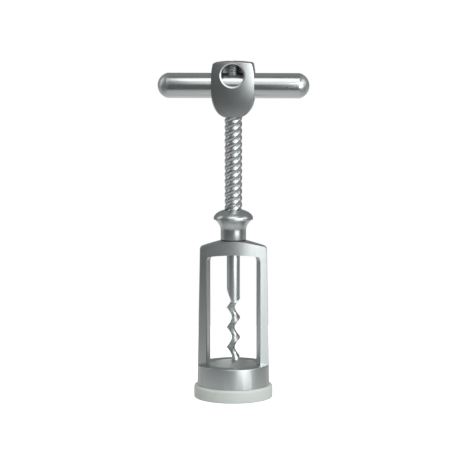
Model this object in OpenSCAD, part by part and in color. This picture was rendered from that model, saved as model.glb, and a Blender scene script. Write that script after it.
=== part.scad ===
/* [Bottle seat] */
// Radius of the socket that takes the mouth of the bottle
socket_r = 15.4; // [14.6:0.1:17]
// Height of the ledge that rests on the bottle
ledge_z = 12; // [9:0.1:14]
// Width of the ledge
ledge_w = 1.7; // [1:0.1:2.5]
// How far the plastic ring stands out beyond the foot
ring_proud = 1.7; // [0.8:0.1:3]
// Height of the plastic ring
ring_h = 7; // [5:0.1:9]
// Thickness of the plastic under the metal
ring_floor = 1.8; // [1:0.1:3]
// Depth of the step in the foot that the ring grips
ring_step = 1.2; // [0.6:0.1:1.8]

/* [Frame] */
// Thickness of the foot around the socket
foot_wall = 4.9; // [4:0.1:6]
// Height of the foot
foot_h = 18.6; // [16:0.1:24]
// How much narrower the frame is at the shoulders, at each side
shoulder_in = 1.6; // [0.8:0.1:2.4]
// Depth of the shoulders below the seat on top of the arch
shoulder_drop = 5; // [4:0.1:6]
// Radius that rounds the shoulders
shoulder_round = 1.8; // [0.8:0.1:2.4]
// Thickness of the arch in the middle
crown_t = 7.8; // [6.8:0.1:9]
// Radius of the curved front and back faces
face_r = 46; // [40:1:80]
// Height of the window above the foot
window_h = 62; // [50:0.5:70]
// Width of the legs at the face, at the shoulders
leg_w = 3.6; // [3:0.1:5]
// How far the ridge in the middle of a leg stands into the window
leg_ridge = 2.2; // [1:0.1:3]
// Radius of the upper corners of the window
window_round = 4.2; // [1.5:0.1:5]
// Rise of the arched top of the window
window_rise = 1.3; // [0.4:0.1:1.6]

/* [Turning collar] */
// Wall of the journal that turns in the arch
journal_wall = 0.87; // [0.75:0.01:1]
// How far the journal stops above the window
journal_lift = 1.2; // [0.6:0.1:1.8]
// Step from the journal out to the neck
neck_step = 1.13; // [1:0.01:1.4]
// How far the faces of the arch stand beyond the neck
arch_lip = 0.22; // [0.1:0.02:1.5]
// Running clearance of the journal and of the loose rings
run_gap = 0.05; // [0.03:0.01:0.08]
// Thickness of the washer under the neck
washer_t = 0.5; // [0.3:0.1:0.8]
// Length of the straight neck
neck_l = 5.45; // [4:0.05:8]
// Height of the flare above the neck
flare_h = 6.2; // [5:0.1:9]
// How far the rim stands out beyond the neck
flare_w = 3.92; // [3.4:0.02:6]
// Height of the domed cap
dome_h = 4.8; // [3:0.1:7]
// Radius of the two retaining pins
retainer_r = 1; // [0.8:0.05:1.1]
// Depth of the retaining pins below the seat on top of the arch
retainer_drop = 3.5; // [2.8:0.1:3.9]

/* [Spindle and worm] */
// Rise of the thread and of the worm in one turn
lead = 11.2; // [10:0.1:13]
// Number of starts of the thread
starts = 3; // [2:1:4]
// Radius over the crests of the thread
crest_r = 4.88; // [4.4:0.01:5.4]
// Depth of the thread
thread_t = 0.83; // [0.6:0.01:0.9]
// Clearance between the thread and its nut
thread_gap = 0.22; // [0.2:0.01:0.25]
// Turns of the handle from raised to lowered
turns = 4.5; // [3:0.25:6]
// Radius of the rod of the worm
rod_r = 3.64; // [3.3:0.02:3.9]
// Length of the plain rod below the spindle
rod_l = 27.3; // [20:0.1:32]
// Length of the worm below the plain rod
worm_l = 44; // [36:0.5:50]
// Radius of the edge of the worm
worm_r = 3.74; // [3.4:0.02:4.2]
// Radius of the core of the worm
worm_core_r = 0.88; // [0.7:0.02:1.2]
// Radius of the tenon that joins the worm to the spindle
tenon_r = 2.5; // [2:0.1:2.8]
// Height of the stop ring
stop_h = 2.3; // [1.5:0.1:3]

/* [Handle] */
// Length of the handle bar
bar_l = 84; // [70:0.5:100]
// Radius of the handle bar
bar_r = 6.95; // [6.2:0.05:7.6]
// Height of the dome at each end of the bar
bar_dome = 5.5; // [3:0.1:6]
// Depth of the hub below the middle of the bar
hub_drop = 17.2; // [16.5:0.1:21]
// Radius of the hub at its widest
hub_r = 14.2; // [13.4:0.1:16]
// Half the width of the hub between its flats
hub_flat = 11.9; // [10.8:0.1:12.4]
// Half the depth of the hub between its curved faces
hub_depth = 9.2; // [8.6:0.1:12]
// Radius of the hub's faces from side to side
hub_face_r = 45; // [20:1:90]
// Radius of the round window in the hub
eye_r = 6.2; // [5:0.1:6.8]
// Height of the window above the middle of the bar
eye_rise = 5.9; // [4.8:0.1:6.4]
// Width of the chamfer around the window
eye_chamfer = 0.8; // [0.4:0.1:1]
// Depth of the window behind the axis
eye_back = 4; // [3:0.1:6]
// Thickness of the hub above the window
roof_t = 1.6; // [1.2:0.1:3]
// Radius of the clamp screw
clamp_r = 2.9; // [2.5:0.1:3.2]
// Turn of the handle about the spindle at rest, in degrees
handle_angle = -4; // [-30:1:30]

/* [Hidden] */
$fn = 96;
eps = 0.01;
far = 60;

steel = [0.72, 0.73, 0.72];
dark_steel = [0.5, 0.51, 0.5];
polished = [0.85, 0.86, 0.86];
brass = [0.78, 0.65, 0.35];
plastic = [0.82, 0.85, 0.82];
nylon = [0.2, 0.2, 0.2];

foot_r = socket_r + foot_wall;
foot_seat_r = foot_r - ring_step;
foot_round = 0.6;
opening_r = socket_r - ledge_w;
ring_r = foot_r + ring_proud;
ring_edge = 1.3;

window_z = foot_h + window_h;
arch_z = window_z + crown_t;
shoulder_z = arch_z - shoulder_drop;
shoulder_r = foot_r - shoulder_in;
window_half_w = shoulder_r - leg_w;
ridge_half_w = window_half_w - leg_ridge;

bore_gap = 0.2;
journal_bore_r = crest_r + bore_gap;
journal_r = journal_bore_r + journal_wall;
journal_z = window_z + journal_lift;
groove_t = 0.5;
groove_r = journal_r - groove_t;
bore_r = journal_r + run_gap;
neck_r = journal_r + neck_step;
neck_z = arch_z + washer_t + run_gap;
arch_half_t = neck_r + arch_lip;
flare_z = neck_z + neck_l;
rim_z = flare_z + flare_h;
rim_r = neck_r + flare_w;
dome_z = rim_z + dome_h;
retainer_z = arch_z - retainer_drop;
retainer_sink = 0.9;
retainer_web = 4;
retainer_x = groove_r + run_gap + retainer_r;
nut_shoulder = 0.4;
nut_r = journal_r + run_gap;
nut_z = neck_z + nut_shoulder;
flange_r = nut_r + 1.4;
flange_h = 2.6;
cap_spigot_r = flange_r + 1.8;
cap_spigot_h = 1.2;
cap_gap = 0.25;
key_r = 0.7;
key_l = 3;
root_r = crest_r - thread_t;
spindle_z = nut_z - run_gap;
worm_top_z = spindle_z - rod_l;
worm_tip_z = worm_top_z - worm_l;
stop_r = crest_r + 0.07;
stop_neck_r = rod_r - 0.4;
stop_z = spindle_z - run_gap - stop_h;
hub_gap = 1.5;
hub_z = dome_z + turns * lead + hub_gap;
bar_z = hub_z + hub_drop;
hub_top = eye_rise + eye_r + roof_t;
hub_egg = hub_drop + 5;
hub_outline = hub_drop + 1;
hub_belly = 5;
hub_bow_r = 70;
hub_corner = 1.5;
hub_crown = 0.9;
hub_lean = 0.12;
hub_high = hub_top - hub_crown - hub_corner;
chamfer_h = 3;
spigot_r = 4;
spigot_l = 8;
spigot_end = 0.3;
tenon_l = 8;
tenon_end = 0.3;
run_out = 5.5;
flight_end = 0.5;
point_l = 0.6;
worm_pin_r = 1;
dowel_r = 1.25;
dowel_z = hub_z + spigot_l / 2;
dowel_sink = 1.6;
clamp_bite = 1.6;
clamp_sink = 0.6;
clamp_top = hub_top - clamp_sink;
hex_r = 1.7;
hex_depth = 2.5;

// Outer radius of the tapering frame at height z.
function frame_r(z) = foot_r + (shoulder_r - foot_r) * z / shoulder_z;

// Points of an arc about c, from angle a to angle b.
function arc(c, r, a, b, n = 8) =
    [for (i = [0:n]) let (t = a + (b - a) * i / n) c + r * [cos(t), sin(t)]];

// Turned outline of the frame above its foot: tapering side, round shoulder, sloping top.
module bell_profile() {
    top_slope = atan2(arch_z - shoulder_z - shoulder_round, shoulder_r - shoulder_round - neck_r);
    centre = [frame_r(shoulder_z) - shoulder_round, shoulder_z];
    polygon(concat(
        [[0, foot_h - 1], [frame_r(foot_h - 1), foot_h - 1]],
        arc(centre, shoulder_round, 0, 90 - top_slope),
        [[neck_r, arch_z], [0, arch_z]]
    ));
}

// Section of the foot: tapering wall, rounded top edge, bottle socket and ledge.
module foot_profile() {
    polygon(concat(
        [[socket_r, ring_floor], [foot_seat_r, ring_floor], [foot_seat_r, ring_h], [frame_r(ring_h), ring_h]],
        arc([frame_r(foot_h) - foot_round, foot_h - foot_round], foot_round, 0, 90),
        arc([opening_r + foot_round / 2, foot_h - foot_round / 2], foot_round / 2, 90, 180),
        [[opening_r, ledge_z], [socket_r, ledge_z]]
    ));
}

// Space between the two curved faces.
module between_faces() {
    intersection_for (s = [-1, 1])
        translate([0, s * (face_r - arch_half_t), 0])
            cylinder(r = face_r, h = arch_z + 1);
}

// Outline of the window at half width w, with round corners and an arched top.
module window_outline(w) {
    rise_r = (w * w + window_rise * window_rise) / (2 * window_rise);
    intersection() {
        union() {
            translate([-w, foot_h])
                square([2 * w, window_z - window_rise - window_round - foot_h]);
            hull()
                for (s = [-1, 1])
                    translate([s * (w - window_round), window_z - window_rise - window_round])
                        circle(r = window_round, $fn = 32);
            translate([-w + window_round, foot_h])
                square([2 * (w - window_round), window_z - foot_h]);
        }
        translate([0, window_z - rise_r])
            circle(r = rise_r);
    }
}

// Half of the window: it narrows from the face to the ridges in the middle of the legs.
module window_half() {
    slope = (window_half_w - ridge_half_w) / leg_edge_y();
    hull() {
        rotate([90, 0, 0])
            linear_extrude(eps)
                window_outline(ridge_half_w);
        translate([0, -arch_half_t - 1, 0])
            rotate([90, 0, 0])
                linear_extrude(eps)
                    window_outline(ridge_half_w + slope * (arch_half_t + 1));
    }
}

// Distance from the middle plane to the face at the edge of the window.
function leg_edge_y() = sqrt(face_r * face_r - window_half_w * window_half_w) - (face_r - arch_half_t);

// Retaining pin on side s, from a little below the back face to short of the front face.
module retainer(s, back_y) {
    translate([s * retainer_x, back_y, retainer_z])
        rotate([90, 0, 0])
            cylinder(r = retainer_r, h = back_y + arch_half_t - retainer_web, $fn = 48);
}

module frame() {
    color(steel)
        difference() {
            union() {
                rotate_extrude()
                    foot_profile();
                difference() {
                    intersection() {
                        rotate_extrude()
                            bell_profile();
                        between_faces();
                    }
                    translate([0, 0, foot_h - 1 - eps])
                        cylinder(r = opening_r, h = 2);
                    window_half();
                    mirror([0, 1, 0])
                        window_half();
                }
            }
            translate([0, 0, window_z - 2])
                cylinder(r = bore_r, h = far);
            for (s = [-1, 1])
                retainer(s, 2 * arch_half_t);
        }
}

module bottle_ring() {
    color(plastic)
        rotate_extrude()
            polygon(concat(
                [[socket_r, 0]],
                arc([ring_r - ring_edge / 2, ring_edge / 2], ring_edge / 2, -90, 0),
                arc([ring_r - ring_edge, ring_h - ring_edge], ring_edge, 0, 90),
                [[foot_seat_r, ring_h], [foot_seat_r, ring_floor], [socket_r, ring_floor]]
            ));
}

module thrust_washer() {
    color(nylon)
        translate([0, 0, arch_z])
            difference() {
                cylinder(r = neck_r - 0.1, h = washer_t);
                translate([0, 0, -1])
                    cylinder(r = bore_r, h = 3);
            }
}

module retaining_pin_left() {
    color(dark_steel)
        retainer(-1, arch_half_t - retainer_sink);
}

module retaining_pin_right() {
    color(dark_steel)
        retainer(1, arch_half_t - retainer_sink);
}

// Key pin at the joint between the bush and the collar.
module key(r, l) {
    translate([nut_r, 0, rim_z - flange_h - l])
        cylinder(r = r, h = l, $fn = 48);
}

module collar() {
    flare = [for (i = [1:10]) [neck_r + (rim_r - neck_r) * pow(i / 10, 1.9), flare_z + flare_h * i / 10]];
    color(steel)
        difference() {
            rotate_extrude()
                polygon(concat(
                    [[journal_bore_r, journal_z], [journal_r, journal_z],
                        [journal_r, retainer_z - retainer_r - 2 * run_gap],
                        [groove_r, retainer_z - retainer_r - 2 * run_gap],
                        [groove_r, retainer_z + retainer_r + 2 * run_gap],
                        [journal_r, retainer_z + retainer_r + 2 * run_gap],
                        [journal_r, neck_z], [neck_r, neck_z], [neck_r, flare_z]],
                    flare,
                    [[cap_spigot_r, rim_z], [cap_spigot_r, rim_z - cap_spigot_h],
                        [flange_r, rim_z - cap_spigot_h], [flange_r, rim_z - flange_h],
                        [nut_r, rim_z - flange_h], [nut_r, nut_z], [journal_bore_r, nut_z]]
                ));
            key(key_r, key_l);
        }
}

module collar_cap() {
    hole_r = crest_r + cap_gap;
    end = acos(hole_r / rim_r);
    dome = [for (i = [0:12]) [rim_r * cos(end * i / 12), rim_z + dome_h * sin(end * i / 12) / sin(end)]];
    color(polished)
        rotate_extrude()
            polygon(concat(
                [[hole_r, rim_z], [flange_r, rim_z], [flange_r, rim_z - cap_spigot_h],
                    [cap_spigot_r, rim_z - cap_spigot_h], [cap_spigot_r, rim_z]],
                dome
            ));
}

// Section across the thread at its own start, opened by the gap g.
module thread_section(g) {
    steps = 10 * starts;
    polygon([for (i = [0:steps - 1])
        let (a = 360 * i / steps, wave = pow((1 + cos(starts * a)) / 2, 0.85))
            (root_r + g + (crest_r - root_r) * wave) * [cos(a), sin(a)]]);
}

// Right-hand thread from height z over height h.
module thread(z, h, g) {
    translate([0, 0, z])
        rotate([0, 0, 360 * z / lead])
            linear_extrude(h, twist = -360 * h / lead, slices = ceil(20 * h / lead), $fn = 3)
                thread_section(g);
}

module threaded_bush() {
    color(brass)
        difference() {
            union() {
                translate([0, 0, nut_z])
                    cylinder(r = nut_r, h = rim_z - nut_z);
                translate([0, 0, rim_z - flange_h])
                    cylinder(r = flange_r, h = flange_h);
            }
            thread(nut_z - 1, rim_z - nut_z + 2, thread_gap);
            key(key_r, key_l);
        }
}

module bush_pin() {
    color(dark_steel)
        key(key_r, key_l);
}

module stop_ring() {
    color(dark_steel)
        translate([0, 0, stop_z])
            difference() {
                cylinder(r = stop_r, h = stop_h);
                translate([0, 0, -1])
                    cylinder(r = stop_neck_r + run_gap, h = stop_h + 2);
            }
}

// Cross pin between the worm's tenon and the spindle.
module worm_cross(r, l) {
    translate([-l / 2, 0, spindle_z + tenon_l / 2])
        rotate([0, 90, 0])
            cylinder(r = r, h = l, $fn = 48);
}

// Pin that locks the spindle in the hub, driven in from the back to the depth y1.
module dowel(y1) {
    rotate([0, 0, handle_angle])
        translate([0, y1, dowel_z])
            rotate([90, 0, 0])
                cylinder(r = dowel_r, h = y1 + spigot_r, $fn = 48);
}

module spindle() {
    color(steel)
        difference() {
            union() {
                thread(spindle_z, hub_z - spindle_z, 0);
                translate([0, 0, hub_z - eps])
                    cylinder(r = spigot_r, h = spigot_l + eps);
            }
            translate([0, 0, spindle_z - 1])
                cylinder(r = tenon_r, h = tenon_l + 1);
            worm_cross(worm_pin_r, 2 * root_r - 0.4);
            dowel(hub_r);
        }
}

// Section across the worm: one sharp edge that falls away to the core on both sides.
module worm_section() {
    steps = 28;
    polygon([for (i = [0:steps - 1])
        let (a = 360 * i / steps, t = min(abs(a > 180 ? a - 360 : a) / 153, 1))
            (worm_core_r + (worm_r - worm_core_r) * pow(1 - t, 1.6)) * [cos(a), sin(a)]]);
}

// Turned outline of the worm's rod: run-out cone, neck for the stop ring, and tenon.
module rod_profile() {
    neck_low = stop_z - run_gap;
    polygon([[0, worm_top_z - run_out], [worm_core_r / 2, worm_top_z - run_out], [rod_r, worm_top_z],
        [rod_r, neck_low], [stop_neck_r, neck_low], [stop_neck_r, spindle_z], [tenon_r, spindle_z],
        [tenon_r, spindle_z + tenon_l - tenon_end], [0, spindle_z + tenon_l - tenon_end]]);
}

// Turned outline that the flight is ground to: a point, then the full width.
module flight_profile() {
    outside = worm_r + tenon_end;
    polygon([[0, worm_tip_z - point_l], [worm_core_r / 4, worm_tip_z - point_l],
        [outside, worm_tip_z + lead * 0.45], [outside, spindle_z], [0, spindle_z]]);
}

module worm() {
    flight_h = worm_top_z - worm_tip_z - flight_end;
    color(polished)
        difference() {
            union() {
                intersection() {
                    translate([0, 0, worm_tip_z])
                        rotate([0, 0, 360 * worm_tip_z / lead])
                            linear_extrude(flight_h, twist = -360 * flight_h / lead,
                                slices = ceil(20 * flight_h / lead), $fn = 3)
                                worm_section();
                    rotate_extrude()
                        flight_profile();
                }
                rotate_extrude()
                    rod_profile();
            }
            worm_cross(worm_pin_r, far);
        }
}

module worm_pin() {
    color(dark_steel)
        worm_cross(worm_pin_r, 2 * root_r - 0.4);
}

// Radius of the barrel that the hub's faces belong to, at height z above the middle of the bar.
function hub_bow(z) = hub_face_r - hub_bow_r + sqrt(hub_bow_r * hub_bow_r - pow(z - hub_belly, 2));

// Half width of the hub at height z above the middle of the bar, where it is w at the bar.
function hub_in(w, z) = w * (1 - hub_lean * pow(z / hub_top, 3));

// Half of the hub's outline from a flat foot to a low crown.
// Its lower curve, of this power, would close at the depth below.
function hub_side(w, below, power) = let (shoulder = hub_in(w, hub_high) - hub_corner) concat(
    [for (i = [0:14]) let (z = -hub_drop * (1 - i / 14)) [w * sqrt(1 - pow(-z / below, power)), z]],
    [for (i = [1:5]) let (z = hub_high * i / 5) [hub_in(w, z), z]],
    [for (a = [15:15:75]) [shoulder + hub_corner * cos(a), hub_high + hub_corner * sin(a)]],
    [for (i = [5:-1:0]) [shoulder * i / 5, hub_top - hub_crown * pow(i / 5, 2)]]
);

// Turned form of the hub: an egg with a cut foot and a low crown on top.
module hub_profile() {
    polygon(concat([[0, -hub_drop]], hub_side(hub_r, hub_egg, 1.6)));
}

// The hub as it is seen from the front.
module hub_front() {
    side = hub_side(hub_flat, hub_outline, 3.4);
    polygon(concat(side, [for (i = [len(side) - 2:-1:0]) [-side[i][0], side[i][1]]]));
}

module hub() {
    color(steel)
        rotate([0, 0, handle_angle])
            difference() {
                intersection() {
                    translate([0, 0, bar_z])
                        rotate_extrude()
                            hub_profile();
                    translate([0, 0, bar_z])
                        rotate([90, 0, 0])
                            linear_extrude(height = far, center = true)
                                hub_front();
                    hub_faces();
                }
                translate([-far, 0, bar_z])
                    rotate([0, 90, 0])
                        cylinder(r = bar_r, h = 2 * far);
                translate([0, 0, bar_z + eye_rise])
                    rotate([90, 0, 0]) {
                        translate([0, 0, -eye_back])
                            cylinder(r = eye_r, h = far);
                        translate([0, 0, eye_depth() - eye_chamfer])
                            cylinder(r1 = eye_r, r2 = eye_r + chamfer_h, h = chamfer_h);
                    }
                translate([0, 0, hub_z - 1])
                    cylinder(r = spigot_r, h = spigot_l + 1 + spigot_end);
                translate([0, 0, bar_z])
                    cylinder(r = clamp_r, h = far);
                rotate([0, 0, -handle_angle])
                    dowel(2 * hub_r);
            }
}

// Space between the hub's front and back faces, each bowed from side to side and from top to bottom.
module hub_faces() {
    intersection_for (s = [-1, 1])
        translate([0, s * (hub_face_r - hub_depth), bar_z])
            rotate_extrude($fn = 240)
                polygon(concat(
                    [[0, -hub_drop - 1]],
                    [for (i = [0:24]) let (z = -hub_drop - 1 + (hub_drop + hub_top + 2) * i / 24)
                        [hub_bow(z), z]],
                    [[0, hub_top + 1]]
                ));
}

// Distance of the hub's face from its axis at the sides of the round window.
function eye_depth() = hub_depth - hub_face_r + sqrt(hub_face_r * hub_face_r - eye_r * eye_r);

module hub_dowel() {
    color(dark_steel)
        dowel(hub_depth - hub_face_r + hub_bow(dowel_z - bar_z) - dowel_sink);
}

module handle_bar() {
    cap_r = (bar_r * bar_r + bar_dome * bar_dome) / (2 * bar_dome);
    color(polished)
        rotate([0, 0, handle_angle])
            difference() {
                translate([0, 0, bar_z])
                    rotate([0, 90, 0])
                        intersection() {
                            cylinder(r = bar_r, h = bar_l, center = true);
                            bar_ends(cap_r);
                        }
                translate([0, 0, bar_z + bar_r - clamp_bite])
                    cylinder(r = clamp_r, h = bar_r);
            }
}

// Two domes, back to back, that round the ends of the bar.
module bar_ends(cap_r) {
    cut = bar_l / 2 - bar_dome;
    union() {
        cylinder(r = bar_r, h = 2 * cut, center = true);
        for (s = [0, 1])
            mirror([0, 0, s])
                intersection() {
                    translate([0, 0, bar_l / 2 - cap_r])
                        sphere(r = cap_r);
                    translate([0, 0, cut - eps])
                        cylinder(r = bar_r + 1, h = bar_dome + 1);
                }
    }
}

module clamp_screw() {
    z0 = bar_z + bar_r - clamp_bite;
    color(dark_steel)
        rotate([0, 0, handle_angle])
            difference() {
                translate([0, 0, z0])
                    cylinder(r = clamp_r, h = bar_z + clamp_top - z0);
                translate([0, 0, bar_z + clamp_top - hex_depth])
                    cylinder(r = hex_r, h = hex_depth + 1, $fn = 6);
            }
}

frame();
bottle_ring();
thrust_washer();
retaining_pin_left();
retaining_pin_right();
collar();
collar_cap();
threaded_bush();
bush_pin();
stop_ring();
spindle();
worm();
worm_pin();
hub();
hub_dowel();
handle_bar();
clamp_screw();
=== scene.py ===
"""Finishes, lights and camera for a T-handle screw corkscrew with an open bell frame."""
import math

import bmesh
import bpy
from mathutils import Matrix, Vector


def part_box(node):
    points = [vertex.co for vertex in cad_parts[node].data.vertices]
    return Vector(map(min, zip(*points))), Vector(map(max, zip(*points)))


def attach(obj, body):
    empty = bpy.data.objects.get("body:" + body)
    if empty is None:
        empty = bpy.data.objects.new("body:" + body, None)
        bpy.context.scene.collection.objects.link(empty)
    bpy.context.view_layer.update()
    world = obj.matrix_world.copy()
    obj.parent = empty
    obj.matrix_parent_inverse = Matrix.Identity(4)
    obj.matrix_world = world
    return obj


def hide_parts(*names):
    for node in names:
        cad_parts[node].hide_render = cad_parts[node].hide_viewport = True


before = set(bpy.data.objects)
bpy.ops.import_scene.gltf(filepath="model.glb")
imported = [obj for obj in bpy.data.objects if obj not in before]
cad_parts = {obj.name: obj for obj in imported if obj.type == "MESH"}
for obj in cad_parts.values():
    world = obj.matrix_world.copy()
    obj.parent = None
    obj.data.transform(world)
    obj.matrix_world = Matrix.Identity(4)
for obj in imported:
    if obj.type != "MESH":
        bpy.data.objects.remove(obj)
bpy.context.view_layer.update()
scene = bpy.context.scene

MM = 0.001
AROUND = 128  # sides of a turned piece

# ---------------------------------------------------------------- sizes, from the frame
foot_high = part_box("frame")[1]
ring_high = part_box("bottle_ring")[1]
washer_low, washer_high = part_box("thrust_washer")
collar_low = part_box("collar")[0]
cap_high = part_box("collar_cap")[1]
bush_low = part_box("threaded_bush")[0]
stop_low, stop_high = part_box("stop_ring")
spindle_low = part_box("spindle")[0]
worm_low, worm_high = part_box("worm")
hub_low, hub_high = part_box("hub")
bar_low, bar_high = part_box("handle_bar")
screw_low, screw_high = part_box("clamp_screw")

LEAD = 11.2 * MM
STARTS = 3
HANDLE_TURN = math.radians(-4)


# ---------------------------------------------------------------- modelling helpers
def deselect():
    """Leaves edit mode and clears the selection."""
    if bpy.context.object and bpy.context.object.mode != "OBJECT":
        bpy.ops.object.mode_set(mode="OBJECT")
    bpy.ops.object.select_all(action="DESELECT")


def activate(piece):
    deselect()
    piece.select_set(True)
    bpy.context.view_layer.objects.active = piece


def edit(piece):
    activate(piece)
    bpy.ops.object.mode_set(mode="EDIT")


def pick(piece, wanted):
    """Opens a piece in edit mode with only the points selected whose place passes the test."""
    edit(piece)
    bpy.ops.mesh.select_mode(type="VERT")
    bpy.ops.mesh.select_all(action="DESELECT")
    mesh = bmesh.from_edit_mesh(piece.data)
    for vertex in mesh.verts:
        vertex.select = wanted(vertex.co)
    mesh.select_flush(True)
    bmesh.update_edit_mesh(piece.data)


def apply_place(piece):
    activate(piece)
    bpy.ops.object.transform_apply(location=True, rotation=True, scale=True)


def apply_modifier(piece, kind, **settings):
    """Adds one modifier with these settings and applies it."""
    activate(piece)
    modifier = piece.modifiers.new(kind.lower(), kind)
    for name, value in settings.items():
        setattr(modifier, name, value)
    bpy.ops.object.modifier_apply(modifier=modifier.name)


def tidy(piece, merge=0.004 * MM):
    """Merges doubled points and turns every face outwards."""
    edit(piece)
    bpy.ops.mesh.select_all(action="SELECT")
    bpy.ops.mesh.remove_doubles(threshold=merge)
    bpy.ops.mesh.normals_make_consistent(inside=False)
    bpy.ops.object.mode_set(mode="OBJECT")


def turned(name, profile, around=AROUND):
    """A turned piece: a circle is extruded and scaled through the profile's (radius, height) points.
    A profile that ends where it began makes a ring, and any other is closed at both ends."""
    deselect()
    r0, z0 = profile[0]
    bpy.ops.mesh.primitive_circle_add(vertices=around, radius=r0, location=(0, 0, z0))
    piece = bpy.context.object
    piece.name = name
    apply_place(piece)
    edit(piece)
    bpy.ops.mesh.select_all(action="SELECT")
    ring_shape = math.dist(profile[0], profile[-1]) < 1e-9
    if not ring_shape:
        bpy.ops.mesh.edge_face_add()
    for (ra, za), (rb, zb) in zip(profile, profile[1:]):
        bpy.ops.mesh.extrude_region_move(TRANSFORM_OT_translate={"value": (0, 0, zb - za)})
        bpy.ops.transform.resize(value=(rb / ra, rb / ra, 1), center_override=(0, 0, zb))
    tidy(piece)
    return piece


def arc(cr, cz, r, a, b, steps=4):
    """Points (radius, height) along an arc about (cr, cz), from angle a to b in degrees."""
    angles = [math.radians(a + (b - a) * i / steps) for i in range(steps + 1)]
    return [(cr + r * math.cos(t), cz + r * math.sin(t)) for t in angles]


def boolean(piece, cutter, operation):
    """Cuts, joins or intersects piece with cutter, which is then deleted."""
    apply_modifier(piece, "BOOLEAN", operation=operation, object=cutter, solver="EXACT")
    bpy.data.objects.remove(cutter)


def rod(radius, length, place, turn=(0, 0, 0), sides=96):
    """A plain round cutter."""
    deselect()
    bpy.ops.mesh.primitive_cylinder_add(vertices=sides, radius=radius, depth=length, location=place,
                                        rotation=turn)
    cutter = bpy.context.object
    apply_place(cutter)
    return cutter


def soften(piece, width, segments=3, angle=28):
    """Rounds the sharp edges of a piece."""
    apply_modifier(piece, "BEVEL", width=width, segments=segments, limit_method="ANGLE",
                   angle_limit=math.radians(angle), use_clamp_overlap=True, miter_outer="MITER_ARC")


def smooth(piece, angle=32):
    activate(piece)
    bpy.ops.object.shade_smooth_by_angle(angle=math.radians(angle))


def place(piece, body, slot, finish, nodes, angle=32):
    """Finishes a piece: finish, smoothing, body and the nodes that it stands for. slot is not used."""
    piece.data.materials.clear()
    piece.data.materials.append(finish)
    smooth(piece, angle)
    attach(piece, body)
    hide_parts(*nodes)
    return piece


# ---------------------------------------------------------------- node groups shared by the finishes
def new_group(name, inputs, outputs):
    """An empty node group with these float or vector sockets: (name, default) in, (name, kind) out."""
    group = bpy.data.node_groups.new(name, "ShaderNodeTree")
    for label, value in inputs:
        socket = group.interface.new_socket(name=label, in_out="INPUT", socket_type="NodeSocketFloat")
        socket.default_value = value
    for label, kind in outputs:
        group.interface.new_socket(name=label, in_out="OUTPUT", socket_type=kind)
    group.nodes.new("NodeGroupInput").name = "in"
    group.nodes.new("NodeGroupOutput").name = "out"
    return group


def node(tree, kind, links=None, **settings):
    """Adds a node, sets its settings and feeds its inputs from sockets or plain values."""
    made = tree.nodes.new(kind)
    for name, value in settings.items():
        setattr(made, name, value)
    for key, value in (links or {}).items():
        if isinstance(value, bpy.types.NodeSocket):
            tree.links.new(value, made.inputs[key])
        else:
            made.inputs[key].default_value = value
    return made


def maths(tree, operation, a, b=0.0, clamp=False):
    return node(tree, "ShaderNodeMath", {0: a, 1: b}, operation=operation, use_clamp=clamp).outputs[0]


def remap(tree, value, low, high, to_low, to_high):
    """Straight-line change of range, held at its ends."""
    return node(tree, "ShaderNodeMapRange", {"Value": value, "From Min": low, "From Max": high,
                                             "To Min": to_low, "To Max": to_high}).outputs[0]


def noise(tree, vector, scale, detail=4.0, rough=0.6):
    return node(tree, "ShaderNodeTexNoise", {"Vector": vector, "Scale": scale, "Detail": detail,
                                             "Roughness": rough}).outputs["Fac"]


def mix_colour(tree, factor, a, b):
    """Colour between a and b, which are sockets or plain colours."""
    a, b = (c if isinstance(c, bpy.types.NodeSocket) else tuple(c) + (1,) for c in (a, b))
    return node(tree, "ShaderNodeMix", {0: factor, 6: a, 7: b}, data_type="RGBA").outputs[2]


def object_place(tree):
    return node(tree, "ShaderNodeTexCoord").outputs["Object"]


def make_turned_lines():
    """Fine rings left by turning and brushing round the upright axis, as a height and as a mask."""
    group = new_group("turned_lines", [("Fineness", 1.0), ("Waver", 1.0)],
                      [("Lines", "NodeSocketFloat"), ("Bands", "NodeSocketFloat")])
    into, out = group.nodes["in"], group.nodes["out"]
    where = node(group, "ShaderNodeSeparateXYZ", {0: object_place(group)}).outputs
    radius = maths(group, "POWER", maths(group, "ADD", maths(group, "MULTIPLY", where[0], where[0]),
                                         maths(group, "MULTIPLY", where[1], where[1])), 0.5)
    around = maths(group, "MULTIPLY", maths(group, "ARCTAN2", where[1], where[0]),
                   maths(group, "MULTIPLY", into.outputs["Waver"], 0.0006))
    across = node(group, "ShaderNodeCombineXYZ", {0: radius, 1: around, 2: where[2]}).outputs[0]
    lines = noise(group, across, maths(group, "MULTIPLY", into.outputs["Fineness"], 9000.0), 3.0, 0.7)
    bands = noise(group, across, maths(group, "MULTIPLY", into.outputs["Fineness"], 900.0), 2.0, 0.5)
    group.links.new(lines, out.inputs["Lines"])
    group.links.new(bands, out.inputs["Bands"])
    return group


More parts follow.
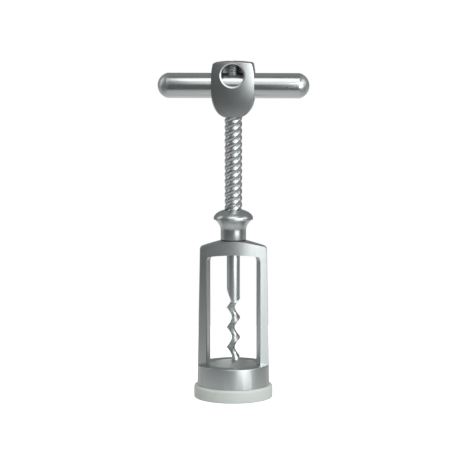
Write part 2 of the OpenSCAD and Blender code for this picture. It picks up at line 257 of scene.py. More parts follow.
def make_handling():
    """What handling leaves on metal: hairline scratches, faint smudges and a fine uneven tone."""
    group = new_group("handling", [("Scratches", 0.5), ("Smudges", 0.5)],
                      [("Scratch", "NodeSocketFloat"), ("Smudge", "NodeSocketFloat"),
                       ("Tone", "NodeSocketFloat")])
    into, out = group.nodes["in"], group.nodes["out"]
    where = object_place(group)
    scratch = None
    for turn, stretch in (((0.4, 0.9, 0.3), (1, 60, 60)), ((1.3, 0.2, 1.1), (60, 1, 60))):
        laid = node(group, "ShaderNodeMapping",
                    {"Vector": where, "Rotation": turn, "Scale": stretch}).outputs[0]
        hair = maths(group, "GREATER_THAN", noise(group, laid, 60.0, 2.0, 0.5), 0.735)
        scratch = hair if scratch is None else maths(group, "MAXIMUM", scratch, hair)
    scratch = maths(group, "MULTIPLY", scratch, into.outputs["Scratches"])
    smudge = remap(group, noise(group, where, 70.0, 3.0, 0.55), 0.48, 0.72, 0.0, 1.0)
    smudge = maths(group, "MULTIPLY", smudge, into.outputs["Smudges"])
    tone = noise(group, where, 420.0, 4.0, 0.6)
    for value, label in ((scratch, "Scratch"), (smudge, "Smudge"), (tone, "Tone")):
        group.links.new(value, out.inputs[label])
    return group


def make_groove_shade():
    """How deep a point lies in a thread round the upright axis, which masks the painted shade in its
    grooves: 0 on the crest, 1 at the root.
    """
    group = new_group("groove_shade", [("Crest", 4.9), ("Root", 4.0)], [("Depth", "NodeSocketFloat")])
    into, out = group.nodes["in"], group.nodes["out"]
    where = node(group, "ShaderNodeSeparateXYZ", {0: object_place(group)}).outputs
    radius = maths(group, "POWER", maths(group, "ADD", maths(group, "MULTIPLY", where[0], where[0]),
                                         maths(group, "MULTIPLY", where[1], where[1])), 0.5)
    depth = remap(group, maths(group, "MULTIPLY", radius, 1000.0),
                  into.outputs["Crest"], into.outputs["Root"], 0.0, 1.0)
    group.links.new(depth, out.inputs["Depth"])
    return group


def make_end_dulling():
    """Where a bar's turned ends stay duller than its polished length: 0 along it, 1 on the domes."""
    group = new_group("end_dulling", [("Start", 35.5), ("Full", 38.0)], [("Dull", "NodeSocketFloat")])
    into, out = group.nodes["in"], group.nodes["out"]
    where = node(group, "ShaderNodeSeparateXYZ", {0: object_place(group)}).outputs
    along = maths(group, "MULTIPLY", maths(group, "ABSOLUTE", where[0]), 1000.0)
    dull = remap(group, along, into.outputs["Start"], into.outputs["Full"], 0.0, 1.0)
    group.links.new(dull, out.inputs["Dull"])
    return group


turned_lines = make_turned_lines()
handling = make_handling()
groove_shade = make_groove_shade()
end_dulling = make_end_dulling()


# ---------------------------------------------------------------- finishes
def steel(name, colour, rough, lines=0.0, fineness=1.0, scratches=0.4, smudges=0.5,
          groove=None, dull_ends=0.0):
    """Bare metal. Tone and roughness vary with handling; the relief comes from turned lines and scratches.
    groove is a thread's crest and root radius in mm, and how dark the painted shade in it is at the root."""
    finish = bpy.data.materials.new(name)
    finish.use_nodes = True
    tree = finish.node_tree
    shader = tree.nodes["Principled BSDF"]
    shader.inputs["Metallic"].default_value = 1.0
    rings = node(tree, "ShaderNodeGroup", {}, node_tree=turned_lines)
    rings.inputs["Fineness"].default_value = fineness
    worn = node(tree, "ShaderNodeGroup", {}, node_tree=handling)
    worn.inputs["Scratches"].default_value = scratches
    worn.inputs["Smudges"].default_value = smudges
    dull = maths(tree, "MULTIPLY", maths(tree, "SUBTRACT", worn.outputs["Tone"], 0.5), 0.2)
    banded = maths(tree, "MULTIPLY", maths(tree, "SUBTRACT", rings.outputs["Bands"], 0.5), lines)
    dull = maths(tree, "ADD", dull, banded)
    tint = mix_colour(tree, maths(tree, "ADD", dull, 0.35, clamp=True),
                      tuple(c * 1.05 for c in colour), tuple(c * 0.9 for c in colour))
    roughness = maths(tree, "ADD", rough, maths(tree, "MULTIPLY", worn.outputs["Smudge"], 0.09))
    roughness = maths(tree, "ADD", roughness, maths(tree, "MULTIPLY", dull, 0.12))
    if groove:
        depth = node(tree, "ShaderNodeGroup", {}, node_tree=groove_shade)
        depth.inputs["Crest"].default_value, depth.inputs["Root"].default_value = groove[:2]
        # Painted shade: the thread's grooves are darkened towards the root.
        deep = maths(tree, "POWER", depth.outputs[0], 1.6)
        tint = mix_colour(tree, maths(tree, "MULTIPLY", deep, groove[2]), tint, (0.05, 0.05, 0.048))
        roughness = maths(tree, "ADD", roughness, maths(tree, "MULTIPLY", deep, 0.25))
    if dull_ends:
        ends = node(tree, "ShaderNodeGroup", {}, node_tree=end_dulling)
        roughness = maths(tree, "ADD", roughness, maths(tree, "MULTIPLY", ends.outputs[0], dull_ends))
    relief = maths(tree, "SUBTRACT", maths(tree, "MULTIPLY", rings.outputs["Lines"], lines),
                   maths(tree, "MULTIPLY", worn.outputs["Scratch"], 0.25))
    bump = node(tree, "ShaderNodeBump", {"Strength": 0.3, "Distance": 0.00001, "Height": relief})
    tree.links.new(tint, shader.inputs["Base Color"])
    tree.links.new(roughness, shader.inputs["Roughness"])
    tree.links.new(bump.outputs[0], shader.inputs["Normal"])
    return finish


def plastic(name, colour, rough, see_through=0.0):
    """Moulded plastic: faint moulding grain, with cloudiness and handling marks in the gloss."""
    finish = bpy.data.materials.new(name)
    finish.use_nodes = True
    tree = finish.node_tree
    shader = tree.nodes["Principled BSDF"]
    shader.inputs["IOR"].default_value = 1.5
    shader.inputs["Transmission Weight"].default_value = see_through
    worn = node(tree, "ShaderNodeGroup", {}, node_tree=handling)
    worn.inputs["Scratches"].default_value = 0.25
    worn.inputs["Smudges"].default_value = 0.6
    tint = mix_colour(tree, noise(tree, object_place(tree), 160.0, 3.0), tuple(c * 0.95 for c in colour),
                      tuple(min(c * 1.05, 1.0) for c in colour))
    roughness = maths(tree, "ADD", rough, maths(tree, "MULTIPLY", worn.outputs["Smudge"], 0.1))
    grain = maths(tree, "SUBTRACT", noise(tree, object_place(tree), 2600.0, 2.0), worn.outputs["Scratch"])
    bump = node(tree, "ShaderNodeBump", {"Strength": 0.25, "Distance": 0.00003, "Height": grain})
    tree.links.new(tint, shader.inputs["Base Color"])
    tree.links.new(roughness, shader.inputs["Roughness"])
    tree.links.new(bump.outputs[0], shader.inputs["Normal"])
    return finish


satin = steel("satin_steel", (0.57, 0.605, 0.605), 0.36, lines=0.12, scratches=0.15, smudges=0.35)
hub_satin = steel("hub_satin_steel", (0.48, 0.51, 0.51), 0.33, lines=0.04, scratches=0.15, smudges=0.4)
turned_steel = steel("turned_steel", (0.595, 0.63, 0.63), 0.31, lines=0.1, fineness=1.3, scratches=0.15)
bright = steel("bright_steel", (0.665, 0.70, 0.70), 0.21, scratches=0.05, smudges=0.3, dull_ends=0.2)
# Painted light: a lighter, rougher copy of the satin steel for the shaded inside of the foot's opening.
socket_painted_light_steel = steel("socket_painted_light_steel", (0.68, 0.71, 0.70), 0.6, lines=0.1)
worm_steel = steel("worm_steel", (0.66, 0.695, 0.695), 0.35, scratches=0.0, smudges=0.15)
# The spindle's and the clamp screw's thread grooves get painted shade.
thread_steel = steel("thread_steel", (0.625, 0.66, 0.66), 0.28, lines=0.02, scratches=0.04,
                     groove=(4.6, 4.05, 0.35))
# Painted light: the screw's steel is made much lighter than the other steel, to lift it out of the shade
# inside the eye.
screw_painted_light_steel = steel("screw_painted_light_steel", (0.84, 0.86, 0.86), 0.3, lines=0.02, groove=(2.8, 2.3, 0.5))
# Painted highlight: a much lighter, rougher copy of the hub's steel, so the eye's chamfer ring reads bright.
eye_rim_painted_highlight = steel("eye_rim_painted_highlight", (0.86, 0.88, 0.88), 0.45, lines=0.05)
pin_steel = steel("pin_steel", (0.45, 0.45, 0.44), 0.32, lines=0.05, scratches=0.3)
bush_brass = steel("bush_brass", (0.72, 0.52, 0.24), 0.25, lines=0.2)
milky = plastic("milky_plastic", (0.57, 0.61, 0.585), 0.3)
# Black nylon for the washer, whose dark edge also paints the shadow line under the collar's neck.
black_nylon_shadow_line = plastic("black_nylon_shadow_line", (0.03, 0.03, 0.03), 0.4)


# ---------------------------------------------------------------- bottle ring
SOCKET_R, SEAT_R, RING_FLOOR = 15.4 * MM, 19.1 * MM, 1.8 * MM


def make_bottle_ring():
    """The ring under the foot: it steps in under the metal and keeps the foot off the glass."""
    outer, height = ring_high.x, ring_high.z
    low, top = 0.45 * MM, 1.3 * MM
    profile = (arc(SOCKET_R + low, low, low, 180, 270, 4) + arc(outer - low, low, low, 270, 360, 5)
               + arc(outer - top, height - top, top, 0, 90, 8)
               + [(SEAT_R, height), (SEAT_R, RING_FLOOR), (SOCKET_R, RING_FLOOR), (SOCKET_R, low)])
    return turned("seat_ring", profile, 160)


place(make_bottle_ring(), "frame", "ring_plastic", milky, ["bottle_ring"])


# ---------------------------------------------------------------- bell frame
FOOT_R, SHOULDER_R = 20.3 * MM, 18.7 * MM
SHOULDER_Z, SHOULDER_ROUND = 83.4 * MM, 1.8 * MM
FOOT_TOP, ARCH_TOP = 18.6 * MM, foot_high.z
WINDOW_TOP, WINDOW_HALF, RIDGE_HALF = 80.6 * MM, 15.1 * MM, 12.9 * MM
FACE_R, ARCH_HALF = 46 * MM, 7.3 * MM
OPENING_R, LEDGE_Z = 13.7 * MM, 12 * MM
BORE_R, NECK_R = 6.0 * MM, 7.08 * MM


def bell_r(z):
    """Radius of the tapering outside at height z."""
    return FOOT_R + (SHOULDER_R - FOOT_R) * z / SHOULDER_Z


def window_cutter():
    """The window through the bell, narrowest at the ridges in the middle of the legs."""
    deep = ARCH_HALF + 1 * MM
    leg_y = math.sqrt(FACE_R ** 2 - WINDOW_HALF ** 2) - (FACE_R - ARCH_HALF)
    wide = RIDGE_HALF + (WINDOW_HALF - RIDGE_HALF) * deep / leg_y
    height = WINDOW_TOP - FOOT_TOP
    deselect()
    middle = FOOT_TOP + height / 2
    bpy.ops.mesh.primitive_plane_add(size=1, rotation=(math.pi / 2, 0, 0), location=(0, -deep, middle))
    cutter = bpy.context.object
    cutter.scale = (2 * wide, height, 1)
    apply_place(cutter)
    pick(cutter, lambda co: co.z > middle)
    bpy.ops.mesh.bevel(offset=4.2 * MM, segments=12, affect="VERTICES")
    bpy.ops.mesh.select_all(action="SELECT")
    for scale in (RIDGE_HALF / wide, wide / RIDGE_HALF):
        bpy.ops.mesh.extrude_region_move(TRANSFORM_OT_translate={"value": (0, deep, 0)})
        bpy.ops.transform.resize(value=(scale, 1, 1), center_override=(0, 0, 0))
    tidy(cutter)
    rise = 1.3 * MM
    rise_r = (WINDOW_HALF ** 2 + rise ** 2) / (2 * rise)
    boolean(cutter, rod(rise_r, 60 * MM, (0, 0, WINDOW_TOP - rise_r), (math.pi / 2, 0, 0), 720), "INTERSECT")
    return cutter


def make_bell():
    """Foot and arch in one piece: turned, cut back to two curved faces, with the window cut through."""
    top_rise, top_run = ARCH_TOP - SHOULDER_Z - SHOULDER_ROUND, SHOULDER_R - SHOULDER_ROUND - NECK_R
    top_slope = math.degrees(math.atan2(top_rise, top_run))
    shoulder = arc(bell_r(SHOULDER_Z) - SHOULDER_ROUND, SHOULDER_Z, SHOULDER_ROUND, 0, 90 - top_slope, 10)
    low = FOOT_TOP - 1 * MM
    bell = turned("bell_frame", [(bell_r(low), low)] + shoulder + [(NECK_R, ARCH_TOP)], 192)
    for side in (-1, 1):
        face = rod(FACE_R, 200 * MM, (0, side * (FACE_R - ARCH_HALF), 60 * MM), sides=480)
        boolean(bell, face, "INTERSECT")
    boolean(bell, window_cutter(), "DIFFERENCE")
    boolean(bell, rod(OPENING_R, 4 * MM, (0, 0, low), sides=192), "DIFFERENCE")
    edge, lip, small = 0.6 * MM, 0.35 * MM, 0.15 * MM
    step = ring_high.z
    foot = ([(SOCKET_R, RING_FLOOR), (SEAT_R, RING_FLOOR), (SEAT_R, step), (bell_r(step) - small, step),
             (bell_r(step), step + small)]
            + arc(bell_r(FOOT_TOP) - edge, FOOT_TOP - edge, edge, 0, 90, 6)
            + arc(OPENING_R + lip, FOOT_TOP - lip, lip, 90, 180, 5)
            + [(OPENING_R, LEDGE_Z), (SOCKET_R, LEDGE_Z), (SOCKET_R, RING_FLOOR)])
    boolean(bell, turned("foot", foot, 192), "UNION")
    boolean(bell, rod(BORE_R, 20 * MM, (0, 0, ARCH_TOP), sides=96), "DIFFERENCE")
    for pin in ("retaining_pin_left", "retaining_pin_right"):
        pin_low, pin_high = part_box(pin)
        middle = (pin_low + pin_high) / 2
        hole = rod(pin_high.x - middle.x, 20 * MM, (middle.x, pin_low.y + 10 * MM, middle.z),
                   (math.pi / 2, 0, 0), 48)
        boolean(bell, hole, "DIFFERENCE")
    return bell


bell = make_bell()
soften(bell, 0.5 * MM, 4)
place(bell, "frame", "satin_steel", satin, ["frame"])
# Faces inside the opening below the foot's top take the lighter copy, which paints light into the cavity's
# shade.
bell.data.materials.append(socket_painted_light_steel)
for face in bell.data.polygons:
    inside = math.hypot(face.center.x, face.center.y) < SOCKET_R + 0.1 * MM
    if inside and face.center.z < FOOT_TOP - 0.3 * MM:
        face.material_index = 1


# ---------------------------------------------------------------- turning collar
JOURNAL_BORE, JOURNAL_R, GROOVE_R = 5.08 * MM, 5.95 * MM, 5.45 * MM
NECK_Z, FLARE_Z, RIM_Z, RIM_R = 88.95 * MM, 94.4 * MM, 100.6 * MM, 11 * MM
CAP_HOLE, BUSH_R, FLANGE_R = 5.13 * MM, 6.0 * MM, 7.4 * MM
SPIGOT_R, SPIGOT_Z = 9.2 * MM, RIM_Z - 1.2 * MM


def make_washer():
    """Thin washer between the arch and the collar."""
    edge = 0.1 * MM
    outer, low, high = washer_high.x, washer_low.z, washer_high.z
    return turned("running_washer", [(BORE_R, low)] + arc(outer - edge, low + edge, edge, -90, 0, 2)
                  + arc(outer - edge, high - edge, edge, 0, 90, 2) + [(BORE_R, high), (BORE_R, low)])


def make_collar():
    """Journal, straight neck and trumpet flare, all turned from one bar."""
    groove = 1.1 * MM
    pin_z = (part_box("retaining_pin_left")[0].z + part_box("retaining_pin_left")[1].z) / 2
    small, edge, rim = 0.12 * MM, 0.2 * MM, 0.28 * MM
    flare = [(NECK_R + (RIM_R - NECK_R) * t ** 1.9, FLARE_Z + (RIM_Z - FLARE_Z) * t)
             for t in (i / 14 for i in range(1, 14))]
    profile = ([(JOURNAL_BORE, collar_low.z + small)]
               + arc(JOURNAL_BORE + small, collar_low.z + small, small, 180, 270, 3)
               + arc(JOURNAL_R - edge, collar_low.z + edge, edge, -90, 0, 4)
               + [(JOURNAL_R, pin_z - groove), (GROOVE_R, pin_z - groove), (GROOVE_R, pin_z + groove),
                  (JOURNAL_R, pin_z + groove), (JOURNAL_R, NECK_Z)]
               + arc(NECK_R - edge, NECK_Z + edge, edge, -90, 0, 4)
               + [(NECK_R, FLARE_Z - 1.5 * MM), (NECK_R, FLARE_Z)] + flare
               + arc(RIM_R - rim, RIM_Z - rim, rim, -25, 90, 5)
               + [(SPIGOT_R, RIM_Z), (SPIGOT_R, SPIGOT_Z), (FLANGE_R, SPIGOT_Z),
                  (FLANGE_R, RIM_Z - 2.6 * MM), (BUSH_R, RIM_Z - 2.6 * MM), (BUSH_R, bush_low.z),
                  (JOURNAL_BORE, bush_low.z), (JOURNAL_BORE, collar_low.z + small)])
    return turned("turning_collar", profile, 160)


def make_cap():
    """Domed cap that closes the collar round the spindle."""
    rise = cap_high.z - RIM_Z
    end = math.acos(CAP_HOLE / RIM_R)
    edge, lip = 0.22 * MM, 0.15 * MM
    dome = [(RIM_R * math.cos(end * t), RIM_Z + rise * math.sin(end * t) / math.sin(end))
            for t in (0.07 + 0.93 * i / 22 for i in range(22))]
    profile = ([(SPIGOT_R, RIM_Z)] + arc(RIM_R - edge, RIM_Z + edge, edge, -90, 0, 4) + dome
               + arc(CAP_HOLE + lip, cap_high.z - 1.4 * lip, lip, 60, 180, 5)
               + [(CAP_HOLE, RIM_Z), (FLANGE_R, RIM_Z), (FLANGE_R, SPIGOT_Z), (SPIGOT_R, SPIGOT_Z),
                  (SPIGOT_R, RIM_Z)])
    return turned("collar_dome", profile, 160)


# The black washer is a nylon washer and also the painted shadow line between the arch and the collar's neck.
place(make_washer(), "frame", "nylon", black_nylon_shadow_line, ["thrust_washer"])
place(make_collar(), "collar", "polished_steel", turned_steel, ["collar"])
place(make_cap(), "collar", "polished_steel", turned_steel, ["collar_cap"])


# ---------------------------------------------------------------- threads
def section_circle(name, radii, starts):
    """A flat section round the axis: a circle whose points are drawn in, one set after another.
    radii run from a crest to the middle of a groove, and each start repeats them, there and back."""
    steps = 2 * (len(radii) - 1)
    around = steps * starts
    deselect()
    bpy.ops.mesh.primitive_circle_add(vertices=around, radius=radii[0])
    piece = bpy.context.object
    piece.name = name
    for step, radius in enumerate(radii):
        def drawn_in(co):
            turn = round(math.atan2(co.y, co.x) / (2 * math.pi) * around) % steps
            return min(turn, steps - turn) == step
        pick(piece, drawn_in)
        bpy.ops.transform.resize(value=(radius / radii[0], radius / radii[0], 1), center_override=(0, 0, 0))
    return piece


def carry_up(piece, lead, low, high, per_turn):
    """Carries a section up the axis as a right-hand screw from low to high, and closes both ends."""
    turns = (high - low) / lead
    rows = round(per_turn * turns)
    deselect()
    piece.location.z = low
    piece.rotation_euler.z = 2 * math.pi * (low / lead % 1)
    apply_place(piece)
    apply_modifier(piece, "SCREW", angle=2 * math.pi * turns, screw_offset=high - low, steps=rows,
                   render_steps=rows, use_merge_vertices=False, use_smooth_shade=True)
    edit(piece)
    bpy.ops.mesh.select_mode(type="EDGE")
    bpy.ops.mesh.select_all(action="DESELECT")
    bpy.ops.mesh.select_non_manifold()
    bpy.ops.mesh.edge_face_add()
    tidy(piece)
    return piece


def squeeze(piece, low, high, shares):
    """Draws the rows of points between two heights towards the axis, by a share for each row."""
    rows = sorted({round(v.co.z / MM, 3) for v in piece.data.vertices if low <= v.co.z <= high})
    for row in (r * MM for r in rows):
        share = shares((row - low) / (high - low))
        pick(piece, lambda co: abs(co.z - row) < 0.002 * MM)
        bpy.ops.transform.resize(value=(share, share, 1), center_override=(0, 0, row))
    deselect()


CREST_R, ROOT_R, PEG_R = 4.88 * MM, 4.05 * MM, 4 * MM
HUB_Z = hub_low.z
ROD_R, STOP_NECK_R, TENON_R = 3.64 * MM, 3.24 * MM, 2.5 * MM
WORM_TOP, WORM_R, WORM_CORE = 62 * MM, 3.74 * MM, 0.88 * MM
RUN_OUT_Z = 53.4 * MM


def make_spindle():
    """Three-start spindle: broad rounded crests and narrow grooves."""
    steps = 16
    relief = [math.cos(math.pi / 2 * i / steps) ** 0.8 for i in range(steps)] + [0.0]
    radii = [ROOT_R + (CREST_R - ROOT_R) * share for share in relief]
    section = section_circle("spindle_thread", radii, STARTS)
    spindle = carry_up(section, LEAD, spindle_low.z, HUB_Z + 1 * MM, 48)
    boolean(spindle, rod(PEG_R, 8 * MM, (0, 0, HUB_Z + 4 * MM)), "UNION")
    return spindle


def make_stop():
    """Loose ring under the spindle that stops it at the top of its travel."""
    edge = 0.25 * MM
    outer, inner = stop_high.x, STOP_NECK_R + 0.05 * MM
    low, high = stop_low.z, stop_high.z
    return turned("travel_stop", [(inner, low)] + arc(outer - edge, low + edge, edge, -90, 0, 4)
                  + arc(outer - edge, high - edge, edge, 0, 90, 4) + [(inner, high), (inner, low)])


def metal_left(place):
    """How full the rod still is where the cut of the flight runs out: it leaves the rod at the front,
    climbs round by the right and the back, and fades out on the left."""
    climbed = (place.z - RUN_OUT_Z) / (WORM_TOP - RUN_OUT_Z)
    if climbed <= 0:
        return 0.0
    round_from_front = math.degrees(math.atan2(place.x, -place.y)) % 360
    if round_from_front <= 360 * (place.z - RUN_OUT_Z) / LEAD:
        return 1.0
    faded = (round_from_front - 360 + 90 * climbed ** 1.22) / 65 + 1
    faded = min(max(faded, 0.0), 1.0)
    return faded * faded * (3 - 2 * faded)


def make_worm():
    """The worm: one sharp flight round a thin core, ground to a point below and run out into a rod above."""
    steps, flank = 20, 153 / 180
    fall = [max(0, 1 - i / steps / flank) ** 1.6 for i in range(steps + 1)]
    radii = [WORM_CORE + (WORM_R - WORM_CORE) * share for share in fall]
    section = section_circle("worm_screw", radii, 1)
    tip = worm_low.z
    worm = carry_up(section, LEAD, tip, WORM_TOP, 48)
    squeeze(worm, tip - 0.1 * MM, tip + 0.45 * LEAD, lambda t: 0.03 + 0.97 * t ** 0.65)
    for vertex in worm.data.vertices:
        radius = math.hypot(vertex.co.x, vertex.co.y)
        left = WORM_CORE + (ROD_R - 0.01 * MM - WORM_CORE) * metal_left(vertex.co)
        if vertex.co.z > RUN_OUT_Z and radius < left:
            vertex.co.x, vertex.co.y = vertex.co.x * left / radius, vertex.co.y * left / radius
    neck = stop_low.z - 0.05 * MM
    edge = 0.2 * MM
    start = WORM_TOP - 0.3 * MM
    stem = ([(ROD_R - 1 * MM, start), (ROD_R, start)]
            + arc(ROD_R - edge, neck - edge, edge, 0, 90, 4)
            + [(STOP_NECK_R, neck), (STOP_NECK_R, spindle_low.z), (TENON_R, spindle_low.z),
               (TENON_R, worm_high.z - edge), (TENON_R - edge, worm_high.z)])
    boolean(worm, turned("stem", stem, 96), "UNION")
    return worm


place(make_spindle(), "handle", "spindle_steel", thread_steel, ["spindle"], 50)
place(make_stop(), "carriage", "pin_steel", pin_steel, ["stop_ring"])
place(make_worm(), "handle", "spindle_steel", worm_steel, ["worm"], 50)


# ---------------------------------------------------------------- handle
BAR_Z = (bar_low.z + bar_high.z) / 2
BAR_R, BAR_HALF = bar_high.z - BAR_Z, 42 * MM
HUB_R, HUB_FLAT, HUB_DEPTH, HUB_FACE_R = 14.2 * MM, 11.9 * MM, 9.2 * MM, 45 * MM
HUB_DROP, HUB_TOP = BAR_Z - HUB_Z, hub_high.z - BAR_Z
EYE_R, EYE_Z = 6.2 * MM, BAR_Z + 5.9 * MM
EYE_CHAMFER, EYE_DEEP, EYE_BACK = 0.8 * MM, 0.6 * MM, 4 * MM
CLAMP_R, DOWEL_R = 2.9 * MM, 1.25 * MM


def hub_side(half_width, below, power):
    """Half of the hub's outline, as (half width, height above the bar's middle), from its foot to its crown.
    The lower curve, of this power, would close at the depth below, and the sides lean in a little above."""
    corner, crown = 1.5 * MM, 0.9 * MM
    high = HUB_TOP - crown - corner
    sides = [high * i / 10 for i in range(1, 11)]
    low = [-HUB_DROP * (1 - i / 24) for i in range(25)]
    points = [(half_width * math.sqrt(1 - (-z / below) ** power), z) for z in low]
    lean = 0.12
    points += [(half_width * (1 - lean * (z / HUB_TOP) ** 3), z) for z in sides]
    shoulder = points[-1][0] - corner
    for angle in range(8, 80, 8):
        turn = math.radians(angle)
        points.append((shoulder + corner * math.cos(turn), high + corner * math.sin(turn)))
    return points + [(shoulder * i / 16, HUB_TOP - crown * (i / 16) ** 2) for i in range(16, 0, -1)]


def face_bow(z):
    """Radius of the barrel that each face of the hub belongs to, at height z above the bar's middle."""
    bow, belly = 70 * MM, 5 * MM
    return HUB_FACE_R - bow + math.sqrt(bow ** 2 - (z - belly) ** 2)


def face_depth(x, z):
    """Distance of the hub's face from the plane through its axis."""
    return math.sqrt(face_bow(z - BAR_Z) ** 2 - x ** 2) - (HUB_FACE_R - HUB_DEPTH)


def eye_cutter():
    """The round window in the hub's front, as a cutter. Its chamfer follows the face, so it is even."""
    deselect()
    bpy.ops.mesh.primitive_circle_add(vertices=128, radius=EYE_R, location=(0, EYE_BACK, EYE_Z),
                                      rotation=(math.pi / 2, 0, 0))
    cutter = bpy.context.object
    apply_place(cutter)
    edit(cutter)
    bpy.ops.mesh.select_all(action="SELECT")
    bpy.ops.mesh.edge_face_add()
    growth = [1, (EYE_R + EYE_CHAMFER) / EYE_R, 1.01]
    # The rows end up 1, 3 and 6 mm in front of the back, which tells them apart below.
    for step, size in enumerate(growth, 1):
        bpy.ops.mesh.extrude_region_move(TRANSFORM_OT_translate={"value": (0, -step * MM, 0)})
        bpy.ops.transform.resize(value=(size, 1, size), center_override=(0, 0, EYE_Z))
    bpy.ops.object.mode_set(mode="OBJECT")
    for vertex in cutter.data.vertices:
        row = round((EYE_BACK - vertex.co.y) / MM)
        front = face_depth(vertex.co.x, vertex.co.z)
        if row == 1:
            vertex.co.y = EYE_DEEP - front
        elif row == 3:
            vertex.co.y = -front
        elif row == 6:
            vertex.co.y = -HUB_DEPTH - 3 * MM
    tidy(cutter)
    return cutter


def front_cutter():
    """The hub's outline from the front, carried right through: a flat foot, full sides and an arched top."""
    side = hub_side(HUB_FLAT, HUB_DROP + 1 * MM, 3.4)
    (foot_w, foot_z), (next_w, next_z) = side[:2]
    middle = (0, 20 * MM, BAR_Z + (foot_z + next_z) / 2)
    deselect()
    bpy.ops.mesh.primitive_plane_add(size=1, rotation=(math.pi / 2, 0, 0), location=middle)
    cutter = bpy.context.object
    cutter.scale = (2 * foot_w, next_z - foot_z, 1)
    apply_place(cutter)
    pick(cutter, lambda co: co.z > middle[2])
    bpy.ops.transform.resize(value=(next_w / foot_w, 1, 1), center_override=middle)
    for (wa, za), (wb, zb) in zip(side[1:], side[2:]):
        bpy.ops.mesh.extrude_region_move(TRANSFORM_OT_translate={"value": (0, 0, zb - za)})
        bpy.ops.transform.resize(value=(wb / wa, 1, 1), center_override=middle)
    bpy.ops.mesh.select_all(action="SELECT")
    bpy.ops.mesh.extrude_region_move(TRANSFORM_OT_translate={"value": (0, -40 * MM, 0)})
    tidy(cutter)
    return cutter


def make_hub():
    """Hub: an egg trimmed to a front outline and to two curved faces, with the cross hole for the bar
    and the eye that shows the bar and its clamp screw."""
    egg = hub_side(HUB_R, HUB_DROP + 5 * MM, 1.6)
    hub = turned("hub_egg", [(r, BAR_Z + z) for r, z in egg], 240)
    boolean(hub, front_cutter(), "INTERSECT")
    tidy(hub)
    heights = [HUB_Z - 1 * MM + (hub_high.z - HUB_Z + 2 * MM) * i / 30 for i in range(31)]
    for side in (-1, 1):
        barrel = turned("barrel", [(face_bow(z - BAR_Z), z) for z in heights], 400)
        barrel.location.y = side * (HUB_FACE_R - HUB_DEPTH)
        apply_place(barrel)
        boolean(hub, barrel, "INTERSECT")
        tidy(hub)
    boolean(hub, rod(BAR_R, 60 * MM, (0, 0, BAR_Z), (0, math.pi / 2, 0), 128), "DIFFERENCE")
    boolean(hub, eye_cutter(), "DIFFERENCE")
    boolean(hub, rod(PEG_R, 18.6 * MM, (0, 0, HUB_Z - 1 * MM)), "DIFFERENCE")
    boolean(hub, rod(CLAMP_R, 30 * MM, (0, 0, BAR_Z + 15 * MM), sides=64), "DIFFERENCE")
    dowel = rod(DOWEL_R, 20 * MM, (0, 10 * MM, HUB_Z + 4 * MM), (math.pi / 2, 0, 0), 48)
    boolean(hub, dowel, "DIFFERENCE")
    return hub


def make_bar():
    """The polished cross bar with domed ends."""
    dome = 5.5 * MM
    cap_r = (BAR_R ** 2 + dome ** 2) / (2 * dome)
    rim = math.degrees(math.asin(BAR_R / cap_r))
    end = [(cap_r * math.sin(math.radians(a)), BAR_HALF - cap_r + cap_r * math.cos(math.radians(a)))
           for a in (rim * i / 18 for i in range(18, 0, -1))]
    end.append((0.1 * MM, BAR_HALF))
    body = [(r, -x) for r, x in reversed(end)] + end
    bar = turned("cross_bar", body, 128)
    bar.rotation_euler.y = math.pi / 2
    bar.location.z = BAR_Z
    apply_place(bar)
    return bar


def make_clamp_screw():
    """Threaded clamp screw with a hexagon socket, which holds the bar from above."""
    crest, root, pitch = screw_high.x, screw_high.x - 0.55 * MM, 1 * MM
    steps = 12
    radii = [crest - (crest - root) * min(1, max(0, 1.25 * i / steps - 0.12)) for i in range(steps + 1)]
    screw = carry_up(section_circle("eye_screw", radii, 1), pitch, screw_low.z, screw_high.z, 24)
    socket = 2.5 * MM
    boolean(screw, rod(1.7 * MM, 2 * socket, (0, 0, screw_high.z), sides=6), "DIFFERENCE")
    return screw


def eye_rim(hub):
    """Numbers of the faces that make the eye's chamfer: those beside its edge that lean towards it."""
    found = []
    for face in hub.data.polygons:
        across, up = face.center.x, face.center.z - EYE_Z
        reach = math.hypot(across, up)
        lean = -(face.normal.x * across + face.normal.z * up) / reach
        at_edge = face.center.y < 0 and EYE_R < reach < EYE_R + EYE_CHAMFER + 0.15 * MM
        if at_edge and 0.15 < lean < 0.97:
            found.append(face.index)
    return found


def turn_with_handle(piece):
    piece.rotation_euler.z = HANDLE_TURN
    apply_place(piece)
    return piece


hub = make_hub()
soften(hub, 0.22 * MM, 3)
rim = eye_rim(hub)
place(turn_with_handle(hub), "handle", "satin_steel", hub_satin, ["hub"])
# The eye's chamfer faces take the lighter copy, a painted highlight.
hub.data.materials.append(eye_rim_painted_highlight)
for index in rim:
    hub.data.polygons[index].material_index = 1
place(turn_with_handle(make_bar()), "handle", "polished_steel", bright, ["handle_bar"])
# The clamp screw takes the lightened steel, painted light against the shade in the eye.
place(turn_with_handle(make_clamp_screw()), "handle", "pin_steel", screw_painted_light_steel, ["clamp_screw"], 40)

for name, finish in (("threaded_bush", bush_brass), ("bush_pin", pin_steel), ("worm_pin", pin_steel),
                     ("hub_dowel", pin_steel), ("retaining_pin_left", pin_steel),
                     ("retaining_pin_right", pin_steel)):
    for index in range(len(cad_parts[name].material_slots)):
        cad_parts[name].material_slots[index].material = finish


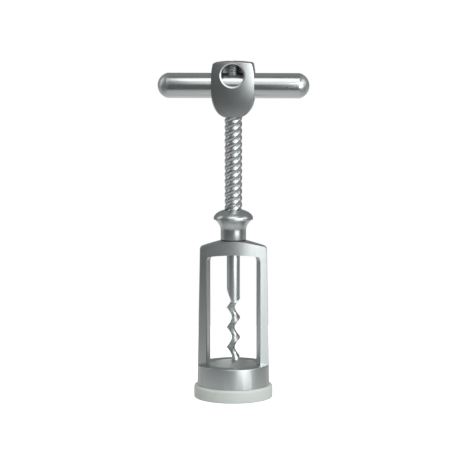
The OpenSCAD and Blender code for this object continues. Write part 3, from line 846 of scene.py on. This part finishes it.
# ---------------------------------------------------------------- floor, backdrop and lamps
def make_floor():
    """Round white table top. It is lit, keeps the shadow, and is lifted to white for the camera."""
    deselect()
    bpy.ops.mesh.primitive_circle_add(vertices=96, radius=0.24, fill_type="NGON", location=(0, 0, -0.2 * MM))
    floor = bpy.context.object
    apply_place(floor)
    floor.name = "table_top"
    finish = bpy.data.materials.new("white_table")
    finish.use_nodes = True
    tree = finish.node_tree
    shader = tree.nodes["Principled BSDF"]
    shader.inputs["Base Color"].default_value = (0.42, 0.42, 0.415, 1)
    shader.inputs["Roughness"].default_value = 0.9
    shader.inputs["Specular IOR Level"].default_value = 0.1
    rays = node(tree, "ShaderNodeLightPath").outputs
    away = node(tree, "ShaderNodeVectorMath", {0: object_place(tree)}, operation="LENGTH").outputs["Value"]
    depth = node(tree, "ShaderNodeSeparateXYZ", {0: object_place(tree)}).outputs["Y"]
    glow = maths(tree, "ADD", remap(tree, away, 0.02, 0.2, FLOOR_GLOW, 0.0),
                 remap(tree, depth, 0.05, 0.16, 0.0, REAR_GLOW))
    mirrored = maths(tree, "MULTIPLY", rays["Is Glossy Ray"], glow)
    seen = maths(tree, "MAXIMUM", rays["Is Camera Ray"], rays["Is Transmission Ray"])
    seen = maths(tree, "MAXIMUM", seen, mirrored)
    strength = maths(tree, "MULTIPLY", seen, 0.92)
    lift = node(tree, "ShaderNodeEmission", {"Color": (1, 1, 1, 1), "Strength": strength})
    both = node(tree, "ShaderNodeAddShader", {0: shader.outputs[0], 1: lift.outputs[0]})
    tree.links.new(both.outputs[0], tree.nodes["Material Output"].inputs["Surface"])
    floor.data.materials.append(finish)


def make_world():
    """White backdrop behind the object, and a dim room on the side of the camera that metal mirrors."""
    world = bpy.data.worlds.new("studio")
    scene.world = world
    world.use_nodes = True
    tree = world.node_tree
    rays = node(tree, "ShaderNodeLightPath").outputs
    direction = node(tree, "ShaderNodeTexCoord").outputs["Generated"]
    where = node(tree, "ShaderNodeSeparateXYZ", {0: direction}).outputs
    behind = remap(tree, where["Y"], -0.05, 0.35, 0.0, 1.0)
    room = remap(tree, where["Z"], -0.1, 0.9, ROOM_LOW, ROOM_HIGH)
    low = remap(tree, where["Z"], 0.0, -0.25, BACKDROP_GLOW, REAR_GLOW)
    mirrored = maths(tree, "ADD", room, maths(tree, "MULTIPLY", behind, low))
    direct = maths(tree, "MAXIMUM", rays["Is Camera Ray"], rays["Is Transmission Ray"])
    soft = node(tree, "ShaderNodeMix", {0: rays["Is Glossy Ray"], 2: DAYLIGHT, 3: mirrored}).outputs[0]
    level = node(tree, "ShaderNodeMix", {0: direct, 2: soft, 3: 1.0}).outputs[0]
    tree.nodes["Background"].inputs["Color"].default_value = (1, 1, 1, 1)
    tree.links.new(level, tree.nodes["Background"].inputs["Strength"])


def softbox(name, azimuth, height, distance, width, tall, watts, aim):
    """A rectangular lamp. Azimuth 0 is in front of the object, and 90 to its right."""
    turn = math.radians(azimuth)
    at = Vector((distance * math.sin(turn), -distance * math.cos(turn), height))
    lamp = bpy.data.lights.new(name, "AREA")
    lamp.shape, lamp.size, lamp.size_y, lamp.energy = "RECTANGLE", width, tall, watts
    box = bpy.data.objects.new(name, lamp)
    box.location = at
    box.rotation_euler = (Vector((0, 0, aim)) - at).to_track_quat("-Z", "Y").to_euler()
    scene.collection.objects.link(box)


FLOOR_GLOW, BACKDROP_GLOW, REAR_GLOW = 0.27, 0.08, 0.4
ROOM_LOW, ROOM_HIGH, DAYLIGHT = 0.11, 0.19, 0.55
make_floor()
make_world()
softbox("key_box", 35, 0.29, 0.85, 0.62, 0.68, 4.3, 0.12)
softbox("top_box", 0, 1.02, 0.53, 0.80, 0.45, 1.9, 0.17)
softbox("front_box", 0, 0.79, 0.95, 0.90, 0.73, 1.5, 0.17)
softbox("left_box", -98, 0.60, 1.0, 0.35, 0.80, 1.1, 0.12)
softbox("right_box", 78, 0.62, 0.90, 0.50, 0.60, 1.2, 0.15)

# ---------------------------------------------------------------- camera
camera = bpy.data.objects.new("camera", bpy.data.cameras.new("camera"))
camera.data.sensor_width = 36
camera.data.lens = 160.6
camera.location = (-0.0002, -1.15, 0.235)
camera.rotation_euler = (math.radians(90 - 7.07), 0, 0)
scene.collection.objects.link(camera)
scene.camera = camera

scene.view_settings.view_transform = "Standard"
